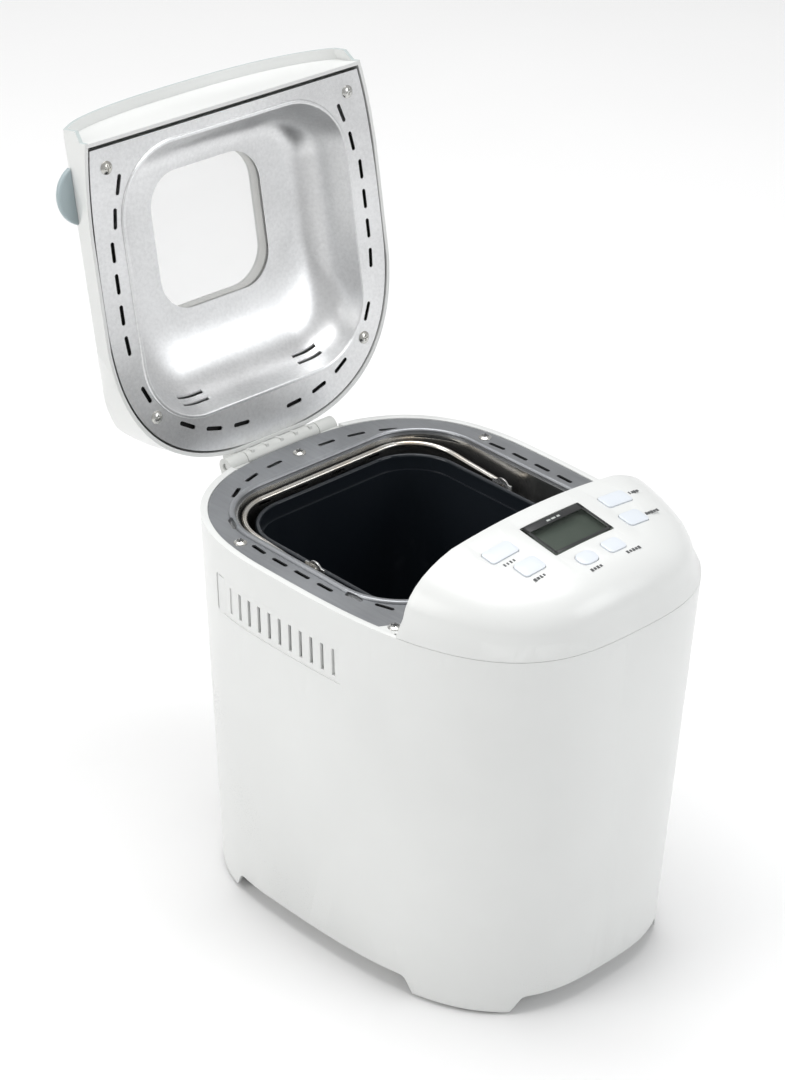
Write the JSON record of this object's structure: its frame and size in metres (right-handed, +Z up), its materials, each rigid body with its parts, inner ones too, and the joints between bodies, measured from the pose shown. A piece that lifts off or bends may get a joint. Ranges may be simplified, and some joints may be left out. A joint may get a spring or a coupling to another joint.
{
  "type": "bread machine",
  "caption": "Compact automatic bread machine with a domed hinged lid, viewing window, control head, lift-out pan with bail and a belt-driven kneading paddle.",
  "frame": {"origin": "on the floor, under the middle of the machine's bounding box with the lid open", "axes": "+X to the machine's right as seen from the front, +Y to the rear where the hinge is, +Z up"},
  "size_m": [0.2714, 0.4428, 0.5206],
  "materials": {
    "white_plastic": "satin moulded plastic",
    "hinge_plastic": "moulded plastic",
    "deck_metal": "satin grey metal",
    "liner_metal": "satin bright metal",
    "chamber_metal": "bright pressed sheet",
    "shield_metal": "zinc-plated sheet",
    "nonstick": "dark non-stick coating",
    "cast_metal": "die-cast",
    "steel": "bright steel",
    "wire_steel": "polished wire",
    "screw_steel": "plated",
    "bronze": "sintered bronze",
    "element_metal": "oxidised sheath",
    "ceramic": "unglazed ceramic",
    "rubber": "soft rubber",
    "belt_rubber": "fabric-backed belt",
    "dark_plastic": "moulded plastic",
    "grey_plastic": "grey-green moulded plastic",
    "key_plastic": "moulded keys",
    "glass": "clear",
    "lens": "clear tinted",
    "lcd": "liquid-crystal panel",
    "board": "circuit board",
    "silicone": "silicone seal",
    "motor_steel": "painted steel"
  },
  "bodies": {
    "base": {"outer_casing": "white_plastic", "base_plate": "white_plastic", "rubber_feet": "rubber", "base_screws": "screw_steel", "cord_gland": "dark_plastic", "deck_plate": "deck_metal", "corner_blocks": "white_plastic", "deck_screws": "screw_steel", "baking_chamber": "chamber_metal", "heat_shield": "shield_metal", "heating_element": "element_metal", "element_clips": "steel", "element_terminals": "ceramic", "temperature_probe": "steel", "pan_clips": "steel", "drive_belt": "belt_rubber", "chassis": "shield_metal", "chassis_pillars": "steel", "shaft_bushes": "bronze", "motor_can": "motor_steel", "motor_screws": "screw_steel", "power_board": "board", "power_parts": "dark_plastic", "control_head": "white_plastic", "display_lens": "lens", "lcd_module": "lcd", "control_board": "board", "key_switches": "dark_plastic", "hinge_base": "hinge_plastic", "hinge_pins": "steel"},
    "lid": {"lid_cover": "white_plastic", "lid_liner": "liner_metal", "window_glass": "glass", "inner_glass": "glass", "window_seal": "silicone", "lid_screws": "screw_steel", "lid_grips": "grey_plastic", "lid_hinge_bracket": "hinge_plastic"},
    "pan": {"bread_pan": "nonstick", "pan_base_ring": "cast_metal", "pan_bush": "steel", "pan_ears": "steel"},
    "bail": {"bail_handle": "wire_steel"},
    "paddle": {"pan_shaft": "steel", "pan_coupler": "cast_metal", "kneading_paddle": "nonstick"},
    "drive": {"drive_coupler": "cast_metal", "drive_shaft": "steel", "drive_pulley": "dark_plastic", "pulley_nut": "screw_steel"},
    "rotor": {"motor_shaft": "steel", "motor_pulley": "cast_metal"},
    "menu_key": {"menu_button": "key_plastic"},
    "time_key": {"time_button": "key_plastic"},
    "loaf_key": {"loaf_button": "key_plastic"},
    "color_key": {"color_button": "key_plastic"},
    "cycle_key": {"cycle_button": "key_plastic"},
    "start_key": {"start_button": "key_plastic"}
  },
  "joints": [
    {"name": "lid_hinge", "type": "hinge", "parent": "base", "child": "lid", "pos_m": [0, 0.11607, 0.2777], "axis": [-1, 0, 0], "range_deg": [-100.6, 0]},
    {"name": "pan_lift", "type": "slide", "parent": "base", "child": "pan", "axis": [0, 0, 1], "range_m": [0, 0.2]},
    {"name": "bail_swing", "type": "hinge", "parent": "pan", "child": "bail", "pos_m": [0, -0.01692, 0.268], "axis": [1, 0, 0], "range_deg": [0, 172]},
    {"name": "paddle_spin", "type": "hinge", "parent": "pan", "child": "paddle", "pos_m": [0, -0.01692, 0.11], "axis": [0, 0, 1], "continuous": true},
    {"name": "drive_spin", "type": "hinge", "parent": "base", "child": "drive", "pos_m": [0, -0.01692, 0.05], "axis": [0, 0, 1], "continuous": true},
    {"name": "motor_spin", "type": "hinge", "parent": "base", "child": "rotor", "pos_m": [0, -0.16442, 0.05], "axis": [0, 0, 1], "continuous": true},
    {"name": "menu_press", "type": "slide", "parent": "base", "child": "menu_key", "axis": [0, 0.1599, -0.9871], "range_m": [0, 0.0008], "stiffness_N_per_m": 400},
    {"name": "time_press", "type": "slide", "parent": "base", "child": "time_key", "axis": [0, 0.1599, -0.9871], "range_m": [0, 0.0008], "stiffness_N_per_m": 400},
    {"name": "loaf_press", "type": "slide", "parent": "base", "child": "loaf_key", "axis": [0, 0.1599, -0.9871], "range_m": [0, 0.0008], "stiffness_N_per_m": 400},
    {"name": "color_press", "type": "slide", "parent": "base", "child": "color_key", "axis": [0, 0.1599, -0.9871], "range_m": [0, 0.0008], "stiffness_N_per_m": 400},
    {"name": "cycle_press", "type": "slide", "parent": "base", "child": "cycle_key", "axis": [0, 0.1599, -0.9871], "range_m": [0, 0.0008], "stiffness_N_per_m": 400},
    {"name": "start_press", "type": "slide", "parent": "base", "child": "start_key", "axis": [0, 0.1599, -0.9871], "range_m": [0, 0.0008], "stiffness_N_per_m": 400}
  ],
  "couplings": [
    {"joint": "motor_spin", "follows": "drive_spin", "ratio": 5.5556},
    {"joint": "paddle_spin", "follows": "drive_spin", "ratio": 1}
  ]
}
